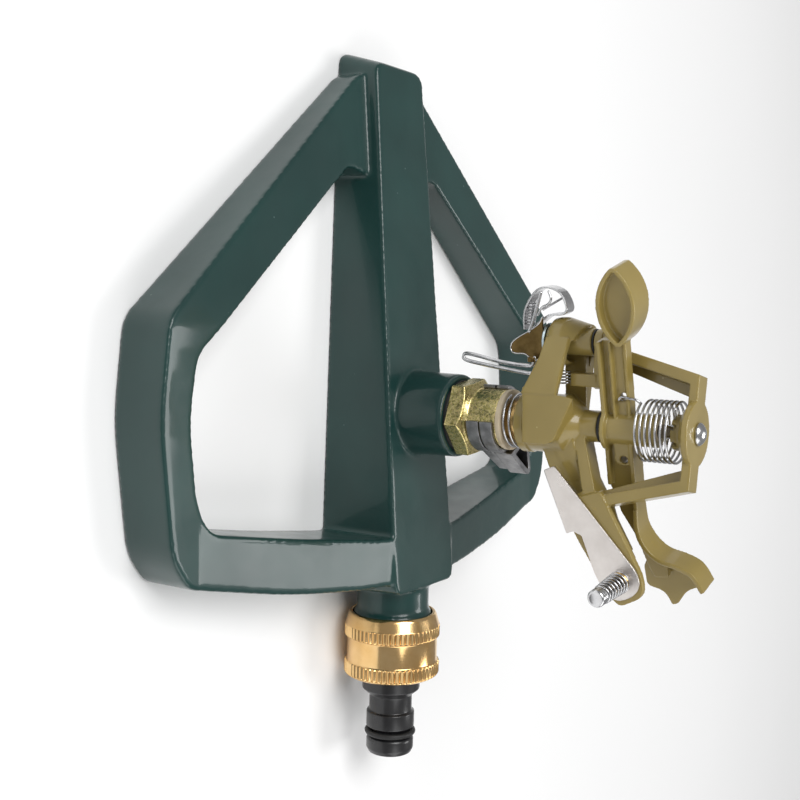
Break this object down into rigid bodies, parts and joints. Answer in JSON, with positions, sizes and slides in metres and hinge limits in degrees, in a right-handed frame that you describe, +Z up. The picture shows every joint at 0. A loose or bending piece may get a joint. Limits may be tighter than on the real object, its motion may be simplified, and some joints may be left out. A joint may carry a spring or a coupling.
{
  "type": "impact lawn sprinkler",
  "caption": "Impact sprinkler head with trip mechanism, friction collars and arm spring on a cast two-wing sled base with a hose nut and quick-connect tip.",
  "frame": {"origin": "on the ground under the swivel axis of the head, at the centre of the base_rest face", "axes": "+Z up along the swivel axis, +X along the spine of the base towards the hose inlet, +Y across the wings"},
  "size_m": [0.2289, 0.217, 0.1196],
  "materials": {
    "green_enamel": "gloss dark green enamel",
    "olive_enamel": "gloss olive-gold enamel",
    "black_rubber": "matt",
    "black_plastic": "satin",
    "beige_plastic": "satin",
    "yellow_zinc": "yellow chromate plating",
    "polished_brass": "polished",
    "raw_brass": "machined",
    "grey_steel": "dull",
    "bright_steel": "bright",
    "spring_steel": "drawn wire and strip",
    "plate_steel": "satin",
    "blue_zinc": "blue-white plating",
    "bronze_plate": "bronze lacquer"
  },
  "bodies": {
    "base": {"base_frame": "green_enamel", "boss_gasket": "black_rubber", "bearing_nipple": "yellow_zinc", "hose_nut": "polished_brass", "hose_nipple": "black_plastic", "nipple_o_ring": "black_rubber", "hose_washer": "black_rubber", "wear_washer": "beige_plastic", "seal_washer": "black_rubber"},
    "lower_collar": {"lower_collar": "grey_steel"},
    "upper_collar": {"upper_collar": "grey_steel"},
    "head": {"head_body": "olive_enamel", "nozzle": "raw_brass", "fulcrum_pin": "bright_steel", "arm_washer": "black_rubber", "bearing_tube": "raw_brass", "bearing_spring": "spring_steel", "deflector_pin": "bright_steel", "deflector_spring": "spring_steel", "deflector_washer": "bright_steel", "trip_spring": "spring_steel"},
    "arm": {"impact_arm": "olive_enamel", "arm_bushing": "beige_plastic", "arm_spring": "spring_steel"},
    "deflector": {"deflector_plate": "plate_steel"},
    "trip": {"trip_shaft": "bright_steel", "trip_ring": "black_rubber", "trip_hammer": "olive_enamel", "trip_washer": "blue_zinc", "trip_lever": "bronze_plate", "trip_clip": "spring_steel"},
    "wire": {"trip_wire": "spring_steel"}
  },
  "joints": [
    {"name": "head_turn", "type": "hinge", "parent": "base", "child": "head", "pos_m": [0, 0, 0.06], "axis": [0, 0, 1], "range_deg": [-152, 174]},
    {"name": "lower_collar_turn", "type": "hinge", "parent": "base", "child": "lower_collar", "pos_m": [0, 0, 0.05], "axis": [0, 0, 1], "range_deg": [-178, 152]},
    {"name": "upper_collar_turn", "type": "hinge", "parent": "base", "child": "upper_collar", "pos_m": [0, 0, 0.055], "axis": [0, 0, 1], "range_deg": [-174, 154]},
    {"name": "arm_swing", "type": "hinge", "parent": "head", "child": "arm", "pos_m": [0, 0, 0.1], "axis": [0, 0, 1], "range_deg": [0, 120], "stiffness_Nm_per_rad": 0.02, "springref_deg": -34.38, "deforming": ["arm_spring"]},
    {"name": "deflector_turn", "type": "hinge", "parent": "head", "child": "deflector", "pos_m": [0.04374, -0.00586, 0.09813], "axis": [-0.1045, 0.9945, 0], "range_deg": [-12, 0]},
    {"name": "trip_toggle", "type": "hinge", "parent": "head", "child": "trip", "pos_m": [-0.02478, -0.0015, 0.086], "axis": [0, 0, 1], "range_deg": [-6, 6]},
    {"name": "trip_wire_flip", "type": "hinge", "parent": "trip", "child": "wire", "pos_m": [-0.01687, -0.00791, 0.0686], "axis": [0.9945, 0.1045, 0], "range_deg": [-80, 0]}
  ]
}
